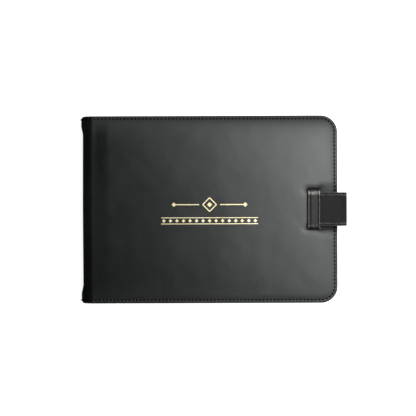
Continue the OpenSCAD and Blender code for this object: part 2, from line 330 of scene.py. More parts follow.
def ruled_paper(name, bends=False):
    made = Finish(name, bends, specular_ior_level=0.25)
    x, y = made.place("X"), made.place("Y")
    normal_z = made.node("ShaderNodeSeparateXYZ", sockets={
        "Vector": made.node("ShaderNodeTexCoord", out="Normal")}, out="Z")
    level = (-0.9, -0.7) if bends else (0.7, 0.9)     # a leaf that bends is printed at any tilt
    face = made.between(made.maths("ABSOLUTE", normal_z), *level)
    left, right = HINGE_X + LEFT_MARGIN, FORE_X - RIGHT_MARGIN
    top, foot, heading = HALF_H - HEAD_MARGIN, -HALF_H + FOOT_MARGIN, HALF_H - HEADING_FOOT

    def inside(value, low, high):
        return made.maths("GREATER_THAN", value, low) * made.maths("LESS_THAN", value, high)

    def rules(value, start, pitch, width):
        part = made.maths("FRACT", (value - start) / pitch)
        return made.maths("LESS_THAN", part, width / pitch)

    table = inside(x, left, right) * inside(y, foot, top)
    body = inside(x, left, right) * inside(y, foot, heading)
    rows = rules(y, foot, ROW_PITCH, FINE_LINE) * body
    columns = rules(x, left, (right - left) / COLUMNS, COLUMN_LINE) * table
    groups = rules(x, left, (right - left) / GROUPS, GROUP_LINE) * table
    ends = inside(y, heading - HEADING_LINE, heading) * table
    lines = made.maths("MAXIMUM", made.maths("MAXIMUM", rows * 0.6, columns * 0.7),
                       made.maths("MAXIMUM", groups, ends))
    band = inside(x, left, right) * inside(y, heading, top)
    fibres = made.noise(1300, 5, 0.65)
    aged = made.noise(18, 3)
    colour = made.blend(fibres * 0.6 + aged * 0.4, (0.78, 0.73, 0.60), (0.88, 0.85, 0.75))
    colour = made.blend(band * face * 0.55, colour, (0.55, 0.68, 0.66))
    colour = made.blend(lines * face * 0.8, colour, (0.16, 0.26, 0.30))
    edge_dust = (1 - face) * made.between(made.noise(1800, 4, 0.7), 0.4, 0.7)
    colour = made.blend(edge_dust * 0.35, colour, (0.52, 0.46, 0.34))
    return made.dress(colour, 0.82 + fibres * 0.12, fibres, 0.05 * MM, 0.5)


def plain_paper(name, dark, light):
    made = Finish(name, specular_ior_level=0.25)
    fibres = made.noise(1100, 6, 0.7)
    threads = made.between(made.noise(260, 5, 0.75), 0.60, 0.66)
    colour = made.blend(fibres, dark, light)
    colour = made.blend(threads * 0.3, colour, tuple(0.6 * c for c in dark))
    return made.dress(colour, 0.82 + fibres * 0.12, fibres, 0.06 * MM, 0.6)


page_paper = ruled_paper("ruled_page_paper")
turning_paper = ruled_paper("turning_page_paper", bends=True)
end_paper = plain_paper("laid_endpaper", (0.56, 0.50, 0.38), (0.72, 0.66, 0.53))
print("papers:", page_paper.name, end_paper.name)

# %% [markdown]
# ## Making a mesh
# Each piece below works out its points with numpy and hands them to one helper. It builds the
# mesh, smooths it, paints any numbers that the finish reads, and makes sure that the faces look
# outward. Most pieces are grids of points, so the quads between them come from a helper too.

# %% The mesh helpers
SHARP_ANGLE = math.radians(55)


def make_piece(name, points, faces, finish, painted=None, smooth=True):
    mesh = bpy.data.meshes.new(name)
    mesh.from_pydata([tuple(map(float, p)) for p in points], [], faces)
    mesh.materials.append(finish)
    laid = mesh.attributes.new("laid", "FLOAT_VECTOR", "POINT")
    laid.data.foreach_set("vector", np.asarray(points, np.float32).ravel())
    for label, values in (painted or {}).items():
        layer = mesh.attributes.new(label, "FLOAT", "POINT")
        layer.data.foreach_set("value", np.asarray(values, np.float32))
    mesh.polygons.foreach_set("use_smooth", [smooth] * len(mesh.polygons))
    made = bpy.data.objects.new(name, mesh)
    bpy.context.scene.collection.objects.link(made)
    face_outward(mesh)
    if smooth:
        mesh.set_sharp_from_angle(angle=SHARP_ANGLE)
    return made


def face_outward(mesh):
    work = bmesh.new()
    work.from_mesh(mesh)
    bmesh.ops.recalc_face_normals(work, faces=work.faces)
    work.to_mesh(mesh)
    work.free()


def grid_faces(rows, columns, start=0, closed=False):
    """Quads between rows of points. A closed grid joins its last column to its first."""
    pairs = [(c, (c + 1) % columns) for c in range(columns if closed else columns - 1)]
    firsts = [start + row * columns for row in range(rows - 1)]
    return [(f + a, f + b, f + b + columns, f + a + columns) for f in firsts for a, b in pairs]


def tube_faces(rings, sides, start=0):
    """A closed grid with a lid on both ends."""
    lids = [tuple(range(first, first + sides)) for first in (start, start + (rings - 1) * sides)]
    return grid_faces(rings, sides, start, closed=True) + lids


def shell_faces(rows, columns):
    """A thin solid: two grids, one listed after the other, joined all along their borders."""
    shift = rows * columns
    index = np.arange(shift).reshape(rows, columns)
    border = np.concatenate([index[0, :-1], index[:-1, -1], index[-1, :0:-1], index[:0:-1, 0]])
    edge = [(a, b, b + shift, a + shift)
            for a, b in zip(border.tolist(), np.roll(border, -1).tolist())]
    return grid_faces(rows, columns) + grid_faces(rows, columns, shift) + edge


def smoothstep(value, low, high):
    t = np.clip((value - low) / (high - low), 0, 1)
    return t * t * (3 - 2 * t)


def settle(piece, body, node):
    """The body that a piece rides on, and the CAD node that it stands for, which is hidden."""
    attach(piece, body)
    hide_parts(node)


print("mesh helpers ready")

# %% [markdown]
# ## The padded cover panels
# A padded cover is a board with foam and leather over it. The leather rolls over the edge, is
# pulled down along the line of stitches, and swells again over the foam. Sculpting that by hand
# would be uneven, and a plain box has no swell, so the height is a formula of the distance from
# the edge: a quarter-round rim, a line that is pressed in at each stitch, then a slow crown.
# The mesh has rings that follow the edge, with a grid inside them, so the pressed line runs
# cleanly round both corners.

# %% The height of the leather
RIM_DROP = 0.12 * MM               # the rolled rim lies lower than the panel
RIM_SLOPE = (3.0 * MM, 7.5 * MM)   # the distances from the edge between which it rises
GROOVE_DEPTH, GROOVE_W = 0.50 * MM, 0.48 * MM
CORNER_W, CORNER_H = 1.1 * MM, 1.0 * MM      # of the rounded corner between the face and the edge
CROWN, CROWN_REACH = 0.45 * MM, 9 * MM
RUB_AT, RUB_W = 1.35 * MM, 0.5 * MM          # the rubbed line on the rim
CREASE_W = 0.6 * MM
WAVES = 0.11 * MM                  # how uneven the padded leather is


def stitch_pull(along):
    """1 under the middle of a stitch, and less where the leather swells between two."""
    return 0.04 + 0.96 * smoothstep(-np.cos(2 * np.pi * along / STITCH_PITCH), 0.2, 1.0)


def edge_height(d, along):
    """Height of the leather next to the edge, against the panel's: 0 is level with it."""
    rim = -RIM_DROP * (1 - smoothstep(d, *RIM_SLOPE))
    groove = -GROOVE_DEPTH * stitch_pull(along) * np.exp(-((d - STITCH_IN) / GROOVE_W) ** 2)
    shoulder = np.clip(1 - d / CORNER_W, 0, 1)
    round_over = -CORNER_H * (1 - np.sqrt(np.clip(1 - shoulder**2, 0, 1)))
    return rim + groove + round_over


def waviness(x, y, seed):
    """A hand's unevenness: broad waves, and half as much again of narrower ones."""
    found = [noise.noise(Vector((a * 28, b * 28, seed))) + 0.5 * noise.noise(
        Vector((a * 75, b * 75, seed + 9))) for a, b in zip(x, y)]
    return np.array(found)


def panel_height(x, y, d, along, crown, seed):
    """The edge's height, and further in the swell of the foam, which starts at the spine too."""
    fuller = 0.6 + 1.1 * smoothstep(y, -20 * MM, 60 * MM)     # the foam is thickest at the head
    swell = crown * fuller * (1 - np.exp(-np.clip(d - 3.2 * MM, 0, 1) / CROWN_REACH))
    from_spine = smoothstep(x - PANEL_X, 0, 16 * MM)
    wave = waviness(x, y, seed) * WAVES * smoothstep(d, 3 * MM, 12 * MM) * from_spine
    return edge_height(d, along) + swell * from_spine + wave * (crown > 0)


print(f"rim {RIM_DROP / MM} mm low, stitch line {GROOVE_DEPTH / MM} mm deep")

# %% [markdown]
# The keeper's ends go down through two slots, and the strap presses on the leather beside them.
# The slots are steep dips in the same height, with a wider, softer dip where the leather is drawn
# in. That needs a finer grid only near the slots, so the grid's lines are spaced unevenly.

# %% The slots and the place under the strap
KEEPER_X = (keeper_lo.x + keeper_hi.x) / 2
KEEPER_W = keeper_hi.x - keeper_lo.x
SLOT_Y = keeper_hi.y + 0.05 * MM
STRAP_HALF = (flap_hi.y - flap_lo.y) / 2
SLOT_DEPTH, DRAWN_DEPTH, PRESSED_DEPTH, PINCH = 1.9 * MM, 0.7 * MM, 0.75 * MM, 0.22 * MM


def strap_dents(x, y):
    """How far the front cover's leather is pushed down round the keeper and the strap, and how
    much painted shade darkens and dulls it there: most of all in the slots, then in the painted
    shadow along the strap's lower edge and beside the keeper."""
    away_x = np.clip(np.abs(x - KEEPER_X) - KEEPER_W / 2, 0, None)
    away_y = np.abs(np.abs(y) - SLOT_Y)
    lens = 1 - 0.35 * np.clip(np.abs(x - KEEPER_X) / (KEEPER_W / 2), 0, 1.4) ** 2
    cut = smoothstep(-away_x, -1.2 * MM, -0.3 * MM) * smoothstep(
        -away_y, -1.9 * MM * lens, -1.2 * MM * lens)
    drawn = np.exp(-(away_x / (4.2 * MM)) ** 2 - (away_y / (3.4 * MM)) ** 2)
    under = smoothstep(x, KEEPER_X, KEEPER_X + 8 * MM)
    pressed = under * smoothstep(-np.abs(y), -STRAP_HALF - 12 * MM, -STRAP_HALF + 1 * MM)
    pinch = PINCH * np.exp(-((away_x - 2.2 * MM) / (1.3 * MM)) ** 2
                           - ((away_y - 0.6 * MM) / (1.6 * MM)) ** 2)
    depth = SLOT_DEPTH * cut + (DRAWN_DEPTH * drawn + PRESSED_DEPTH * pressed) * (1 - cut)
    # Painted shadow of the strap on the leather just below its lower edge.
    strap_shadow = under * np.exp(-((-y - STRAP_HALF - 1.9 * MM) / (2.5 * MM)) ** 2)
    behind = KEEPER_X - x - KEEPER_W / 2
    # Painted shadow along the keeper's side towards the spine.
    keeper_shadow = np.exp(-((behind - 0.2 * MM) / (0.9 * MM)) ** 2) * (np.abs(y) < SLOT_Y)
    # All of these are painted shade, darkest in the slots.
    shade = 1.4 * cut + 0.5 * drawn + 0.5 * pressed + 0.95 * strap_shadow + 0.9 * keeper_shadow
    return depth - pinch, np.clip(shade, 0, 1.4)


print(f"slots {KEEPER_W / MM:.0f} mm long at {SLOT_Y / MM:.1f} mm from the middle")

# %% Lines of the grid
def spaced(start, stop, step, fine=()):
    """Places from start to stop about a step apart, closer inside the fine stretches."""
    places = list(np.linspace(start, stop, int(round(abs(stop - start) / step)) + 1))
    for low, high, small in fine:
        low, high = max(low, start), min(high, stop)
        places = [p for p in places if p < low or p > high]
        places += list(np.linspace(low, high, int(round((high - low) / small)) + 1))
    return np.array(sorted(places))


ARC_STEPS = 24
LINE_STEP = STITCH_PITCH / 5
near_keeper = (KEEPER_X - KEEPER_W / 2 - 4 * MM, KEEPER_X + KEEPER_W / 2 + 4 * MM, 0.5 * MM)
near_slot = (SLOT_Y - 4 * MM, SLOT_Y + 5 * MM, 0.4 * MM)
near_slot_low = (-near_slot[1], -near_slot[0], near_slot[2])
head_x = spaced(PANEL_X, FORE_X - CORNER_R, LINE_STEP, [near_keeper])
side_y = spaced(-(HALF_H - CORNER_R), HALF_H - CORNER_R, LINE_STEP, [near_slot, near_slot_low])
print(f"{len(head_x)} columns and {len(side_y)} rows")

# %% [markdown]
# One ring is the cover's outline moved inward by a distance d. Because the outline is two straight
# sides, two arcs and a fore-edge, moving it inward only shortens the radius of the arcs. The rings
# keep the same number of points, so neighbours join with plain quads. Inside the last ring the
# grid's columns start at the ring's own points.

# %% Build a panel
def lengths(line):
    """How far along a line of points each one is."""
    return np.concatenate([[0], np.cumsum(np.linalg.norm(np.diff(line, axis=0), axis=1))])


def ring(d):
    """Points of the outline at distance d inside the edge, and how far along it each one is."""
    radius = CORNER_R - d
    turn = np.linspace(0, np.pi / 2, ARC_STEPS + 1)[1:-1]
    corner_x, corner_y = FORE_X - CORNER_R, HALF_H - CORNER_R
    upper = [(x, HALF_H - d) for x in head_x]
    upper += [(corner_x + radius * math.sin(a), corner_y + radius * math.cos(a)) for a in turn]
    right = [(FORE_X - d, y) for y in side_y[::-1]]
    lower = [(x, -y) for x, y in upper[::-1]]
    points = np.array(upper + right + lower)
    return points, lengths(points)


RING_AT = np.array([0.0, 0.08, 0.3, 0.6, 0.95, 1.3, 1.65, 1.95, 2.25, 2.5, 2.7, 2.9, 3.1, 3.3,
                    3.55, 3.9, 4.4, 5.1, 6.0, 7.4, 9.0, 11.0, RING_DEPTH / MM]) * MM


def cover_panel(name, outward, finish, crown, dents, seed):
    """A closed padded panel. outward is 1 for the front cover and -1 for the back cover."""
    outer_z = TOP if outward > 0 else 0.0
    _, along = ring(STITCH_IN)
    count = len(along)
    layers = []                    # of places, heights, distances from the edge, and pulls
    for inset, rise in ((0.7, 0.0), (0.15, 0.25), (0.0, 0.8)):      # the turned-in inner edge
        level = np.full(count, -COVER_T + rise * MM)
        layers.append((ring(inset * MM)[0], level, np.full(count, inset * MM), np.zeros(count)))
    for d in RING_AT:
        flat, at_d = ring(d)[0], np.full(count, d)
        extra = panel_height(flat[:, 0], flat[:, 1], at_d, along, crown, seed)
        layers.append((flat, extra, at_d, stitch_pull(along)))
    levels = len(layers)
    faces = grid_faces(levels, count)
    # the grid inside the last ring
    half_arc = ARC_STEPS // 2
    columns = len(head_x) + half_arc - 1
    last = (levels - 1) * count
    rows = count - 2 * columns
    inner_ring, _ = ring(RING_AT[-1])
    start = levels * count
    grid = np.meshgrid(inner_ring[:columns, 0], inner_ring[columns:columns + rows, 1])
    gx, gy = grid[0].ravel(), grid[1].ravel()
    d = np.maximum(np.minimum(HALF_H - np.abs(gy), FORE_X - gx), RING_AT[-1])
    level = np.zeros(len(d))
    extra = panel_height(gx, gy, d, level, crown, seed)
    layers.append((np.column_stack([gx, gy]), extra, d, level))
    points, heights, distance, pulls = (np.concatenate(part) for part in zip(*layers))

    def at(row, column):
        """The point of the grid, whose outer rows and columns are the last ring's."""
        if column == columns:
            return last + columns + row
        if row < 0:
            return last + column
        if row >= rows:
            return last + count - 1 - column
        return start + row * columns + column

    for row in range(-1, rows):
        for column in range(columns - 1 if row in (-1, rows - 1) else columns):
            faces.append((at(row, column), at(row, column + 1),
                          at(row + 1, column + 1), at(row + 1, column)))
    faces.append((at(-1, columns - 1), last + columns, at(0, columns - 1)))
    faces.append((at(rows - 1, columns - 1), last + columns + rows - 1, at(rows, columns - 1)))
    # Painted shade darkens the pressed stitch line, and on the front cover also the slots and the
    # leather round the keeper and the strap.
    crease_shade = pulls * np.exp(-((distance - STITCH_IN) / CREASE_W) ** 2)
    if dents:
        depth, dark = strap_dents(points[:, 0], points[:, 1])
        inside = smoothstep(distance, 0, 2 * MM)
        heights = heights - depth * inside
        crease_shade = np.clip(crease_shade + dark, 0, 1.4)
    rim = np.exp(-((distance - RUB_AT) / RUB_W) ** 2)
    solid = np.column_stack([points, outer_z + outward * heights])
    faces.append(tuple(range(count)))
    spine_side = [k * count for k in range(levels)] + [start + r * columns for r in range(rows)]
    spine_side += [k * count + count - 1 for k in reversed(range(levels))]
    faces.append(tuple(spine_side))
    dull = np.exp(-np.clip(distance - 3 * MM, 0, 1) / (6 * MM))
    dull += 1.7 * np.exp(-(HALF_H - points[:, 1]) / (9 * MM))      # the head is the least polished
    made = make_piece(name, solid, faces, finish, {"rim": rim, "pressed": crease_shade, "dull": dull})
    print(f"{name}: {len(solid)} points")
    return made


front_panel = cover_panel("front_cover_panel", 1, cover_leather, CROWN, True, 3.0)
back_panel = cover_panel("back_cover_panel", -1, cover_leather, 0.0, False, 7.0)

# %% [markdown]
# A panel rides on its own body of the frame and stands for that body's plain leather solid. The
# foam, the board and the lining inside keep their CAD shapes, which are right, and only get their
# finishes.

# %% Put the panels on the frame
for panel, body, plain, fill in ((front_panel, "front_cover", "front_leather", 0.35),
                                 (back_panel, "back_cover", "back_leather", 0.25)):
    settle(panel, body, plain)


def finish_node(node, finish):
    """Gives a CAD node that keeps its shape a better finish."""
    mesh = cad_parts[node].data
    mesh.materials.clear()
    mesh.materials.append(finish)


for side in ("front", "back"):
    finish_node(side + "_foam", pad_foam)
    finish_node(side + "_board", grey_board)
    finish_node(side + "_lining", lining_cloth)
print("panels ride on front_cover and back_cover")

# %% [markdown]
# ## Sweeping a strip
# The spine, the strap, its lining and the keeper are all strips of leather bent along a path. One
# function sweeps a cross-section along any path: at each stop it needs the point, the direction
# that the strip's good side faces, and the direction across it. The ends are closed, so each
# strip is a solid. A cross-section goes once round the strip as pairs: how far across, how high.

# %% The sweep
def sweep(name, stops, facing, across, section, finish, widths=None, painted=None):
    """stops, facing and across are one vector for each stop; section is (across, height)."""
    stops, facing, across = (np.asarray(v, float) for v in (stops, facing, across))
    section = np.asarray(section, float)
    count, size = len(stops), len(section)
    widths = np.zeros(count) if widths is None else widths
    points = []
    for k in range(count):
        side = section[:, 0] + np.sign(section[:, 0]) * widths[k]
        points += list(stops[k] + np.outer(side, across[k]) + np.outer(section[:, 1], facing[k]))
    values = {label: np.tile(v, count) for label, v in (painted or {}).items()}
    return make_piece(name, points, tube_faces(count, size), finish, values)


def strip_section(half, low, high, rows=(), groove=0.3 * MM, edge=0.35 * MM):
    """A strip's outline with soft edges and a pressed line for each row of stitches."""
    across = set(np.linspace(-half + edge, half - edge, 33))
    for row in rows:
        across |= {row + step * MM for step in (-0.9, -0.6, -0.35, -0.15, 0, 0.15, 0.35, 0.6, 0.9)}
    across = np.array(sorted(a for a in across if abs(a) <= half - edge))
    dip = sum((np.exp(-((across - row) / (0.42 * MM)) ** 2) for row in rows), 0 * across)
    upper = list(zip(across, high - groove * dip))
    turn = np.linspace(0, np.pi / 2, 5)[1:]
    right = [(half - edge + edge * math.sin(t), high - edge + edge * math.cos(t)) for t in turn]
    right += [(half, low + 0.3 * edge), (half - 0.4 * edge, low)]
    left = [(-a, h) for a, h in right[::-1]]
    under = [(a, low) for a in np.linspace(half - 2 * edge, -half + 2 * edge, 9)]
    outline = np.array(upper + right + under + left)
    # The rubbed edges, which on the strap and the keeper carry a painted highlight, and painted
    # shade along the pressed rows of stitches.
    rim = np.exp(-((np.abs(outline[:, 0]) - half) / (0.7 * MM)) ** 2)
    top = smoothstep(outline[:, 1], low, high)
    near = [np.exp(-((outline[:, 0] - row) / (0.5 * MM)) ** 2) for row in rows]
    pressed = top * (np.sum(near, axis=0) if rows else 0)
    return outline, {"rim": rim * top, "pressed": np.clip(pressed, 0, 1)}


print("sweep ready")

# %% [markdown]
# ## The spine
# The same leather goes on round the spine in half a circle. Bookbinders pull it out a little over
# the headbands, so the roll flares at the head and the tail. The piece uses the panels' own edge
# heights, and its two long edges end exactly where the panels begin, so no seam shows.

# %% Build the spine
SPINE_R = HINGE_X - spine_lo.x
LEATHER_T = 1.2 * MM
FLARE = 1.6 * MM
LEAN = 0.3 * MM                    # how far the roll draws in towards the head and the tail
SPINE_STEPS = 48


def flare(from_end):
    """How far the roll stands out, by the distance from the head or the tail."""
    settled = 1 - smoothstep(from_end, 8 * MM, 18 * MM)
    return FLARE * settled * smoothstep(from_end, -2 * MM, 3 * MM)


def spine_skin():
    """A closed half tube whose radius follows the panels' edge height along the book."""
    ends = RING_AT[:-2]
    middle = spaced(-HALF_H + 11 * MM, HALF_H - 11 * MM, 2 * MM)
    ys = np.concatenate([HALF_H - ends, middle[::-1], -HALF_H + ends[::-1]])
    angles = np.linspace(np.pi / 2, 3 * np.pi / 2, SPINE_STEPS + 1)
    outer, inner = [], []
    for y in ys:
        d = HALF_H - abs(y)
        for k, angle in enumerate(angles):
            arc = SPINE_R * (angle - np.pi / 2)
            lift = float(edge_height(np.array([d]), np.array([arc]))[0])
            stretch = flare(d) * max(0.0, -math.cos(angle)) ** 0.7
            lean = LEAN * max(0.0, -math.cos(angle)) * smoothstep(abs(y), 0, HALF_H)
            radius = SPINE_R + lift
            outward = HINGE_X + (radius + stretch - lean) * math.cos(angle)
            if k in (0, SPINE_STEPS):
                outward = PANEL_X
            outer.append((outward, y, HINGE_Z + radius * math.sin(angle)))
            thin = SPINE_R - LEATHER_T
            inside = PANEL_X if k in (0, SPINE_STEPS) else HINGE_X + (
                thin + stretch * 0.8) * math.cos(angle)
            inner.append((inside, y, HINGE_Z + thin * math.sin(angle)))
    faces = shell_faces(len(ys), SPINE_STEPS + 1)
    d = np.tile(np.repeat(HALF_H - np.abs(ys), SPINE_STEPS + 1), 2)
    # The rubbed rim, and painted shade in the pressed stitch line.
    painted = {"rim": 0.4 * np.exp(-((d - RUB_AT) / RUB_W) ** 2),
               "pressed": 0.7 * np.exp(-((d - STITCH_IN) / (0.55 * MM)) ** 2)}
    return make_piece("spine_roll", outer + inner, faces, cover_leather, painted)


spine_roll = spine_skin()
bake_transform(spine_roll)
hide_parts("spine_leather")
print(f"spine roll, radius {SPINE_R / MM:.1f} mm")

# %% [markdown]
# ## Stitches
# Seen close, a stitch is a short piece of thread that comes up out of one hole and goes down the
# next, a little askew. Each one here is a small bent tube. All the stitches of a row are one mesh,
# because a row is one thread. A row is a list of stops: the middle of each stitch, the way it runs
# and the way the leather faces.

# %% The stitch maker
ARCH, PLUNGE, TAPER = 0.32, 0.85, 0.40        # of a stitch's shape, in parts of its thickness


def stitches(name, stops, length, thick, finish, skew=0.10):
    """stops holds (middle, along, facing) for each stitch."""
    rings, sides = 7, 8
    points, faces = [], []
    for middle, along, facing in stops:
        middle, along, facing = (np.asarray(v, float) for v in (middle, along, facing))
        across = np.cross(along, facing)
        start = len(points)
        for k in range(rings):
            u = 2 * k / (rings - 1) - 1
            lift = thick * (ARCH - PLUNGE * u * u)
            centre = middle + along * u * length / 2 + facing * lift + across * u * skew * length
            radius = thick / 2 * (1 - TAPER * u * u)
            for s in range(sides):
                turn = 2 * math.pi * s / sides
                points.append(centre + radius * (math.cos(turn) * facing + math.sin(turn) * across))
        faces += tube_faces(rings, sides, start)
    return make_piece(name, points, faces, finish)


def walk(line, along, places):
    """At each place along a line: the point, the way the line runs, and which length it is."""
    for place in places:
        k = int(np.clip(np.searchsorted(along, place), 1, len(along) - 1))
        way = (line[k] - line[k - 1]) / (along[k] - along[k - 1])
        yield line[k - 1] + (place - along[k - 1]) * way, way, k


def cover_row(outward):
    """Stops round the head, the fore-edge and the tail of one panel."""
    line, along = ring(STITCH_IN)
    places = STITCH_PITCH * (np.arange(int(along[-1] / STITCH_PITCH)) + 0.5)
    low = float(edge_height(np.array([STITCH_IN]), np.array([STITCH_PITCH / 2]))[0])
    z = TOP + low + 0.02 * MM if outward > 0 else PRESSED_IN - low - 0.02 * MM
    return [((x, y, z), (*way, 0), (0, 0, outward)) for (x, y), way, _ in walk(line, along, places)]


STITCH_L, THREAD_D = 2.2 * MM, 1.4 * MM
PRESSED_IN = 0.7 * MM              # the book's weight presses the back row into the leather
for outward, body, plain in ((1, "front_cover", "front_stitching"),
                             (-1, "back_cover", "back_stitching")):
    row = stitches(body + "_stitches", cover_row(outward), STITCH_L, THREAD_D, dark_thread,
                   skew=0.2)
    settle(row, body, plain)
    print(f"{row.name}: {len(cover_row(outward))} stitches")

# %% [markdown]
# The row goes on over both ends of the spine, following the roll.

# %% Stitches over the spine
def spine_row():
    stops = []
    count = int(math.pi * SPINE_R / STITCH_PITCH)
    for end in (1, -1):
        y = end * (HALF_H - STITCH_IN)
        for k in range(count):
            angle = math.pi / 2 + math.pi * (k + 0.5) / count
            low = float(edge_height(np.array([STITCH_IN]), np.array([STITCH_PITCH / 2]))[0])
            radius = SPINE_R + low + 0.06 * MM
            reach = radius + flare(STITCH_IN) * max(0.0, -math.cos(angle)) ** 0.7
            middle = (HINGE_X + reach * math.cos(angle), y, HINGE_Z + radius * math.sin(angle))
            stops.append((middle, (-math.sin(angle), 0, math.cos(angle)),
                          (math.cos(angle), 0, math.sin(angle))))
    return stops


spine_stitches = stitches("spine_stitches", spine_row(), STITCH_L, THREAD_D, dark_thread)
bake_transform(spine_stitches)
print(f"spine: {len(spine_row())} stitches")

# %% [markdown]
# ## Inside the spine
# Behind the leather there is a strip of card that keeps the spine round, and the backs of the
# sections have a glued strip of open-weave cloth with the binding thread over it, and a small
# striped roll, the headband, at each end. All of them turn through half the cover's angle when the
# book opens.

# %% Card, cloth, headbands and binding thread
mull_lo, mull_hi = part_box("spine_mull")
band_lo, band_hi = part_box("headband_head")
STRIPE = 0.9 * MM


def bent_inside(piece, node):
    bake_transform(piece)
    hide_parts(node)


def arc_strip(name, radius, thick, half, finish):
    angles = np.linspace(math.radians(94), math.radians(266), 40)
    facing = [(math.cos(a), 0, math.sin(a)) for a in angles]
    stops = [(HINGE_X + radius * c, 0, HINGE_Z + radius * s) for c, _, s in facing]
    section, painted = strip_section(half, -thick, 0, edge=0.2 * MM)
    return sweep(name, stops, facing, [(0, 1, 0)] * len(stops), section, finish, painted=painted)


_, stiff_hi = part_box("spine_stiffener")
card = arc_strip("spine_card", SPINE_R - LEATHER_T - 0.05 * MM, 0.55 * MM, stiff_hi.y, grey_board)
bent_inside(card, "spine_stiffener")

zs = np.linspace(mull_lo.z, mull_hi.z, 24)
section, painted = strip_section(mull_hi.y, 0, mull_hi.x - mull_lo.x, edge=0.1 * MM)
mull = sweep("spine_cloth", [(mull_hi.x, 0, z) for z in zs], [(-1, 0, 0)] * len(zs),
             [(0, 1, 0)] * len(zs), section, mull_cloth, painted=painted)
bent_inside(mull, "spine_mull")


def headband_cloth():
    """Silk wound over a core: two colours in stripes along the roll."""
    made = Finish("striped_headband_silk", specular_ior_level=0.4, sheen_weight=0.4)
    stripe = made.between(made.maths("SINE", made.place("Z") * (2 * math.pi / (2 * STRIPE))),
                          -0.2, 0.2)
    fine = made.maths("SINE", made.place("Z") * (2 * math.pi / (0.28 * MM))) * 0.5 + 0.5
    colour = made.blend(stripe, (0.62, 0.58, 0.48), (0.05, 0.07, 0.12))
    return made.dress(colour, 0.5 + fine * 0.2, fine, 0.08 * MM, 0.8)


silk = headband_cloth()
HEADBAND_R = (band_hi.x - band_lo.x) / 2
ROLL_SIDES = 16
for node in ("headband_head", "headband_tail"):
    lo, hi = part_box(node)
    middle_x, middle_y = (lo.x + hi.x) / 2, (lo.y + hi.y) / 2
    zs = np.linspace(lo.z, hi.z, 60)
    bulge = 1 + 0.06 * np.abs(np.sin(np.pi * (zs - lo.z) / STRIPE))
    turn = np.linspace(0, 2 * math.pi, ROLL_SIDES + 1)[:-1]
    points = [(middle_x + HEADBAND_R * b * math.cos(t), middle_y + HEADBAND_R * b * math.sin(t), z)
              for z, b in zip(zs, bulge) for t in turn]
    roll = make_piece(node + "_roll", points, tube_faces(len(zs), ROLL_SIDES), silk)
    bent_inside(roll, node)

thread_lo, thread_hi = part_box("binding_thread")
stations = np.linspace(thread_lo.y, thread_hi.y, 4)
rows = [((mull_lo.x - 0.2 * MM, y, z), (0, 0, 1), (-1, 0, 0)) for y in stations
        for z in np.arange(thread_lo.z + 1 * MM, thread_hi.z - 0.5 * MM, 1.6 * MM)]
binding = stitches("binding_stitches", rows, length=1.5 * MM, thick=0.6 * MM,
                   finish=linen_thread, skew=0.02)
bent_inside(binding, "binding_thread")
print("spine card, cloth, two headbands and binding thread")

# %% [markdown]
# ## The pages
# A section of a book is a few sheets folded together and sewn through the fold. Seen from the
# side it is a small stack of leaves, not a block, and no two leaves end at quite the same place.
# Each leaf here is its own thin closed sheet with the frame's round corners. Its edge is moved in
# by a small seeded amount, and at the fold the stack is rounded.

# %% Build the sections
LEAVES = 6
LEAF_GAP = 0.025 * MM
UNEVEN = (0.02, 0.38)              # how far a leaf's edge is set back, in millimetres
LEAF_CORNER_R = CORNER_R - 4 * MM
rng = np.random.default_rng(11)


def leaf_outline(lo, hi, inset, fold):
    """Round corners at the fore-edge and square ones at the fold."""
    radius = LEAF_CORNER_R
    turn = np.linspace(0, math.pi / 2, 11)
    x1, y1 = hi.x - inset, hi.y - inset * 0.6
    upper = [(x1 - radius + radius * math.sin(a), y1 - radius + radius * math.cos(a)) for a in turn]
    lower = [(x, -y) for x, y in upper[::-1]]
    return [(lo.x + fold, y1)] + upper + lower + [(lo.x + fold, -y1)]


def leaf_stack(name, node, leaves, finish):
    lo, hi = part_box(node)
    pitch = (hi.z - lo.z) / leaves
    points, faces = [], []
    for k in range(leaves):
        spread = 2 * (k + 0.5) / leaves - 1
        fold = 0.5 * (hi.z - lo.z) * (1 - math.sqrt(1 - spread * spread))
        outline = leaf_outline(lo, hi, rng.uniform(*UNEVEN) * MM, fold)
        size, start = len(outline), len(points)
        for z in (lo.z + k * pitch, lo.z + (k + 1) * pitch - LEAF_GAP):
            points += [(x, y, z) for x, y in outline]
        faces += tube_faces(2, size, start)
    return make_piece(name, points, faces, finish, smooth=False)


for number in range(1, 9):
    node = f"page_section_{number}"
    stack = leaf_stack(f"section_{number}_leaves", node, LEAVES, page_paper)
    settle(stack, f"section_{number}", node)
for side in ("back", "front"):
    finish_node("endpaper_" + side, end_paper)
print(f"8 sections of {LEAVES} leaves")

# %% [markdown]
# One leaf in the middle of the book is being turned. A rigid leaf would swing like a door, but
# paper is held flat by the binding and curls over from there, so the leaf is a finely divided
# sheet, finest over its first centimetre or so.

# %% Build the turning leaf
leaf_lo, leaf_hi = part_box("turning_leaf")
CURL = 13 * MM                     # how far from the spine the paper has straightened


def turning_leaf():
    curled, corner = leaf_lo.x + CURL, leaf_hi.x - LEAF_CORNER_R
    turn = np.linspace(0, math.pi / 2, 14)[1:]
    xs = np.concatenate([np.linspace(leaf_lo.x, curled, 40),
                         np.linspace(curled, corner, 40)[1:],
                         corner + LEAF_CORNER_R * np.sin(turn)])
    past = np.clip(xs - corner, 0, LEAF_CORNER_R)
    half = leaf_hi.y - LEAF_CORNER_R + np.sqrt(np.clip(LEAF_CORNER_R**2 - past**2, 0, None))
    shares = np.linspace(-1, 1, 21)
    points = [(x, h * s, z) for z in (leaf_lo.z, leaf_hi.z) for x, h in zip(xs, half)
              for s in shares]
    return make_piece("turning_page", points, shell_faces(len(xs), len(shares)), turning_paper)


page = turning_leaf()
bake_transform(page)
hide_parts("turning_leaf")
print(f"turning page curls over {CURL / MM:.0f} mm")
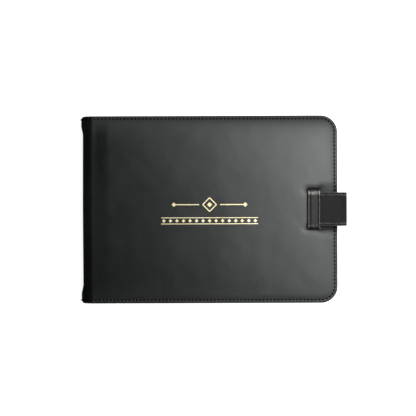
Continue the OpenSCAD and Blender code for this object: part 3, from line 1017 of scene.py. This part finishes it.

# %% [markdown]
# ## The strap
# The strap comes out of the back cover, bends half round the fore-edge and lies on the front cover
# with its end under the keeper. It is two strips of leather back to back, stitched near both
# edges. The frame has two hinges for it, so it is built in two lengths that meet halfway round
# the bend.

# %% The strap's path
BEND_X = 119.6 * MM                # the middle of the bend, 0.4 mm inside the fore-edge
BEND_R = flap_hi.x - BEND_X
BEND_C = np.array([BEND_X, 0, flap_hi.z - BEND_R])
STRAP_T = 1.2 * MM                 # of the outer leather, and of the lining
GLUE = 0.02 * MM                   # between the two
ROW_Y = STRAP_HALF - 2.6 * MM      # the rows of stitches are this far from the middle
ROWS = (-ROW_Y, ROW_Y)
TIP_R = 3 * MM
WEB_TURN, FLAP_TURN = 4 * MM, 5 * MM    # heights over which the strap bends at its hinges


def bend_stops(first, last, steps):
    """Stops on the outer face of the bend, from one angle to another, in degrees."""
    angles = np.radians(np.linspace(first, last, steps))
    facing = [np.array([math.cos(a), 0, math.sin(a)]) for a in angles]
    return [BEND_C + BEND_R * f for f in facing], facing


def flap_stops():
    stops, facing = bend_stops(0, 90, 26)
    for x in np.linspace(BEND_C[0], flap_lo.x, 42)[1:]:
        stops.append(np.array([x, 0, flap_hi.z]))
        facing.append(np.array([0, 0, 1.0]))
    return stops, facing


def tip_widths(stops):
    """Narrows the strap over its last few millimetres, to round the corners of the tip."""
    left = np.array([max(0.0, s[0] - flap_lo.x) if s[2] >= flap_hi.z - 0.01 * MM else 1.0
                     for s in stops])
    short = np.clip(TIP_R - left, 0, TIP_R)
    return np.sqrt(TIP_R**2 - short**2) - TIP_R


def strap_length(name, stops, facing, low, high, rows, finish, widths):
    section, painted = strip_section(STRAP_HALF, low, high, rows)
    return sweep(name, stops, facing, [(0, 1, 0)] * len(stops), section, finish, widths, painted)


web_path, web_facing = bend_stops(-88, 0, 26)
flap_path, flap_facing = flap_stops()
print(f"strap {2 * STRAP_HALF / MM:.1f} mm wide, bend radius {BEND_R / MM:.1f} mm")

# %% Build the strap
def strap_row(stops, facing):
    """A stitch every FINE_PITCH along the path, on both edges."""
    stops, facing = np.array(stops), np.array(facing)
    along = lengths(stops)
    places = np.arange(FINE_PITCH / 2, along[-1] - FINE_PITCH / 2, FINE_PITCH)
    return [(middle + np.array([0, row, 0]) - facing[k] * 0.12 * MM, way, facing[k])
            for middle, way, k in walk(stops, along, places) for row in ROWS]


WEB_BLEND = ((BEND_X, 0, web_lo.z), (BEND_X, 0, web_lo.z + WEB_TURN))
FLAP_BLEND = ((BEND_X, 0, BEND_C[2]), (BEND_X, 0, BEND_C[2] + FLAP_TURN))
for part, path, facing, bodies, span in (
        ("tab_web", web_path, web_facing, ("back_cover", "tab_web"), WEB_BLEND),
        ("tab_flap", flap_path, flap_facing, ("tab_web", "tab_flap"), FLAP_BLEND)):
    widths = tip_widths(path) if part == "tab_flap" else None
    pieces = (
        (strap_length(part + "_strap", path, facing, -STRAP_T, 0, ROWS, strap_leather, widths),
         "leather", "strap_leather"),
        (strap_length(part + "_strap_lining", path, facing, -2 * STRAP_T, -STRAP_T - GLUE,
                      (), strap_leather, widths), "lining", "strap_leather"),
        (stitches(part + "_stitches", strap_row(path, facing), length=1.65 * MM, thick=0.5 * MM,
                  finish=strap_thread), "stitching", "thread"))
    for piece, node, slot in pieces:
        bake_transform(piece)
        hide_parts(f"{part}_{node}")
    print(part, "bends from", bodies[0], "to", bodies[1])
finish_node("tab_anchor", strap_leather)

# %% [markdown]
# ## The keeper
# The keeper is a strip over the strap. It comes up out of one slot, slopes over the strap's edge,
# lies flat and goes down into the other slot. The slopes catch the light, so they are real
# geometry: the path is a smooth curve through a few heights. Its shoulders carry a pale painted
# highlight, strongest on the one next to the head.

# %% Build the keeper
KEEPER_T = 1.3 * MM
KEEPER_PEAK = 24.3 * MM            # the shape's own height, before it is set at the frame's
SHOULDER_HIGHLIGHTS = ((3.2, 15.3 * MM), (0.7, -15.9 * MM))    # how strong each painted highlight is, and where it is
SHOULDER_W = 1.3 * MM
keeper_shape = np.array([(17.8, 17.7), (17.85, 19.6), (17.75, 21.2), (17.2, 22.6), (16.1, 23.6),
                         (14.2, 24.1), (10.0, 24.25), (0.0, 24.3)]) * MM
keeper_shape[:, 1] += keeper_hi.z - KEEPER_PEAK


def keeper_path():
    """A smooth curve through the shape's points and their mirror images."""
    half = keeper_shape
    full = np.vstack([half * (-1, 1), half[-2::-1]])
    knots = np.arange(len(full))
    fine = np.linspace(0, len(full) - 1, 110)
    ys, zs = (catmull(knots, full[:, k], fine) for k in (0, 1))
    stops = np.column_stack([np.full(len(fine), KEEPER_X), ys, zs])
    way = np.gradient(stops, axis=0)
    way /= np.linalg.norm(way, axis=1)[:, None]
    facing = np.column_stack([np.zeros(len(fine)), -way[:, 2], way[:, 1]])
    return stops, way, facing


def catmull(knots, values, at):
    """Catmull-Rom interpolation, which passes through every value."""
    padded = np.concatenate([[2 * values[0] - values[1]], values, [2 * values[-1] - values[-2]]])
    k = np.clip(at.astype(int), 0, len(knots) - 2)
    t = at - k
    p0, p1, p2, p3 = padded[k], padded[k + 1], padded[k + 2], padded[k + 3]
    return 0.5 * (2 * p1 + (p2 - p0) * t + (2 * p0 - 5 * p1 + 4 * p2 - p3) * t**2
                  + (3 * p1 - p0 - 3 * p2 + p3) * t**3)


stops, way, facing = keeper_path()
KEEPER_ROWS = (-(KEEPER_W / 2 - 2.3 * MM), KEEPER_W / 2 - 1.6 * MM)
section, painted = strip_section(KEEPER_W / 2, -KEEPER_T, 0, KEEPER_ROWS, 0.28 * MM)
keeper = sweep("keeper_strip", stops, facing, [(1, 0, 0)] * len(stops), section, keeper_leather,
               painted=painted)
# The shoulders get a painted highlight, strongest on the one next to the head.
rim_and_highlight = keeper.data.attributes["rim"].data
for point, value in zip(keeper.data.vertices, rim_and_highlight):
    value.value += sum(highlight * math.exp(-((point.co.y - y) / SHOULDER_W) ** 2)
                       for highlight, y in SHOULDER_HIGHLIGHTS)
settle(keeper, "front_cover", "keeper_loop")

steps = lengths(stops)
row_stops = []
for place in np.arange(2.4 * MM, steps[-1] - 2.4 * MM, FINE_PITCH):
    k = int(np.searchsorted(steps, place))
    for row in KEEPER_ROWS:
        middle = stops[k] + np.array([row, 0, 0]) - facing[k] * 0.14 * MM
        row_stops.append((middle, way[k], facing[k]))
keeper_stitches = stitches("keeper_stitches", row_stops, length=1.6 * MM, thick=0.5 * MM,
                           finish=dark_thread)
settle(keeper_stitches, "front_cover", "keeper_stitching")
print(f"keeper: {len(row_stops)} stitches in two rows")

# %% [markdown]
# ## Foil
# Gold foil is stamped with a hot die, so it follows the leather. The shapes are plain ones from a
# bookbinder's stock of tools: a rule with a lozenge in the middle, and a border of small lozenges.
# Each stroke is a narrow strip, cut into short lengths and set on the same height formula as the
# leather, so it bends with the crown of the panel.

# %% The foil's strokes
PEN, MIDDLE_LOZENGE, END_LOZENGE = 0.9 * MM, 3.4 * MM, 3 * MM
RULE_GAP, RULE_END = 3.5 * MM, 2.1 * MM      # from the frame to a rule, and from it to the end
BORDER_RULE, BORDER_LOZENGE = 0.7 * MM, 2.4 * MM
BORDER_MARGIN, BORDER_COUNT = 2.6 * MM, 15
FOIL_T, FOIL_ROOT = 0.05 * MM, 0.1 * MM      # above the leather, and below it
orn_lo, orn_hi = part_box("foil_ornament")
band_foil_lo, band_foil_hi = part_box("foil_band")


def leather_z(x, y):
    d = np.minimum(HALF_H - np.abs(y), FORE_X - x)
    return TOP + panel_height(x, y, d, np.zeros(len(x)), CROWN, 3.0)


def foil_piece(name, strokes, node):
    """strokes are (x0, y0, x1, y1, width): straight strips that lie on the leather."""
    points, faces = [], []
    for x0, y0, x1, y1, width in strokes:
        length = math.hypot(x1 - x0, y1 - y0)
        cuts = max(1, int(length / (1.5 * MM)))
        way = np.array([x1 - x0, y1 - y0]) / length
        side = np.array([-way[1], way[0]]) * width / 2
        start = len(points)
        line = np.linspace(0, 1, cuts + 1)[:, None] * np.array([x1 - x0, y1 - y0]) + (x0, y0)
        for centre in line:
            left, right = centre + side, centre - side
            left_z, right_z = leather_z(*np.column_stack([left, right]))
            points += [(*left, left_z + FOIL_T), (*right, right_z + FOIL_T),
                       (*right, right_z - FOIL_ROOT), (*left, left_z - FOIL_ROOT)]
        faces += tube_faces(cuts + 1, 4, start)
    made = make_piece(name, points, faces, gold_foil, smooth=False)
    settle(made, "front_cover", node)


def lozenge(cx, cy, side):
    """A filled square on its corner is one short stroke, as wide as it is long."""
    half = side / 2 * math.sqrt(0.5)
    return (cx - half, cy - half, cx + half, cy + half, side)


def ornament_strokes():
    """A lozenge frame between two rules that end in small lozenges."""
    cy = (orn_lo.y + orn_hi.y) / 2
    reach = (orn_hi.y - orn_lo.y) / 2 - PEN * math.sqrt(0.5)
    corners = [(reach, 0), (0, reach), (-reach, 0), (0, -reach)]
    made = [(ax, cy + ay, bx, cy + by, PEN)
            for (ax, ay), (bx, by) in zip(corners, corners[1:] + corners[:1])]
    made.append(lozenge(0, cy, MIDDLE_LOZENGE))
    tip, start = orn_hi.x - RULE_END, reach + RULE_GAP
    for side in (-1, 1):
        made.append((side * start, cy, side * tip, cy, PEN))
        made.append(lozenge(side * tip, cy, END_LOZENGE))
    return made


def band_strokes():
    """A plain border: a row of lozenges between two rules."""
    lo, hi, half = band_foil_lo, band_foil_hi, BORDER_RULE / 2
    rules = [(lo.x, y, hi.x, y, BORDER_RULE) for y in (lo.y + half, hi.y - half)]
    places = np.linspace(lo.x + BORDER_MARGIN, hi.x - BORDER_MARGIN, BORDER_COUNT)
    return rules + [lozenge(x, (lo.y + hi.y) / 2, BORDER_LOZENGE) for x in places]


foil_piece("gold_rule", ornament_strokes(), "foil_ornament")
foil_piece("gold_band", band_strokes(), "foil_band")
print(f"{len(ornament_strokes())} and {len(band_strokes())} strokes of foil")

# %% [markdown]
# ## Stage, light and camera
# The book lies on a plain pale floor, which glows a little so that it stays white. Black leather
# shows hardly any colour of its own: what is seen is the glow of what it mirrors. One large soft
# lamp hangs high over the fore-edge, so the cover runs from mid grey there to almost black at the
# spine, and a weak low lamp beyond the head catches the edges of the strap and the keeper. The
# room is dark overhead and on the spine's side. The camera looks straight down a long lens.

# %% Stage
def stage_floor():
    size = 3.0
    mesh = bpy.data.meshes.new("floor")
    z = -0.05 * MM
    mesh.from_pydata([(-size, -size, z), (size, -size, z), (size, size, z), (-size, size, z)],
                     [], [(0, 1, 2, 3)])
    made = bpy.data.objects.new("floor", mesh)
    bpy.context.scene.collection.objects.link(made)
    paint = Finish("pale_floor", specular_ior_level=0.1, roughness=0.9, emission_strength=0.9,
                   emission_color=(1.0, 1.0, 1.0, 1.0))
    cloudy = paint.noise(3, 2)
    mesh.materials.append(paint.drive(base_color=paint.blend(cloudy, (0.90, 0.90, 0.90),
                                                             (0.93, 0.93, 0.93))))
    made.visible_glossy = False    # the white floor lights the book but isn't mirrored in it


class Room(Finish):
    """The world's light: dark overhead and on the spine's side, brighter round the others."""

    def __init__(self, world):
        world.use_nodes = True
        self.tree = world.node_tree
        self.shader = self.tree.nodes["Background"]
        self.input("color").default_value = (0.95, 0.97, 1.0, 1.0)
        way = self.node("ShaderNodeTexCoord", out="Generated")
        x, z = (self.node("ShaderNodeSeparateXYZ", sockets={"Vector": way}, out=axis)
                for axis in "XZ")
        glow = self.between(x, -0.35, 0.6) * self.between(z, 0.25, 0.85, 0.34, 0.0) + 0.02
        self.tree.links.new(glow.socket, self.input("strength"))


def lamp(name, place, target, size, power, colour=(1.0, 1.0, 1.0)):
    light = bpy.data.lights.new(name, "AREA")
    light.shape = "RECTANGLE"
    light.size, light.size_y = size
    light.energy = power
    light.color = colour
    made = bpy.data.objects.new(name, light)
    made.location = place
    made.rotation_euler = (Vector(target) - Vector(place)).to_track_quat("-Z", "Y").to_euler()
    bpy.context.scene.collection.objects.link(made)


stage_floor()
world = bpy.data.worlds.new("studio")
Room(world)
bpy.context.scene.world = world
bpy.context.scene.view_settings.view_transform = "Standard"
lamp("key_right", place=(0.30, 0.13, 0.85), target=(0.10, 0.05, 0), size=(0.60, 0.30), power=6.7,
     colour=(0.97, 1.0, 1.0))
lamp("low_head", place=(0.15, 1.1, 0.30), target=(0.05, 0, 0), size=(0.9, 0.2), power=2.5)
print("floor and two lamps")

# %% Camera
LENS, SENSOR = 100.0, 36.0
VIEW_W = 390.4 * MM                  # width of the view where the front cover lies
camera = bpy.data.objects.new("camera", bpy.data.cameras.new("camera"))
camera.data.lens = LENS
camera.data.sensor_width = SENSOR
camera.location = (-1.5 * MM, 1.4 * MM, TOP + VIEW_W * LENS / SENSOR)
camera.rotation_euler = (0, 0, math.radians(-0.2))
bpy.context.scene.collection.objects.link(camera)
bpy.context.scene.camera = camera
print(f"camera {camera.location.z:.3f} m up")
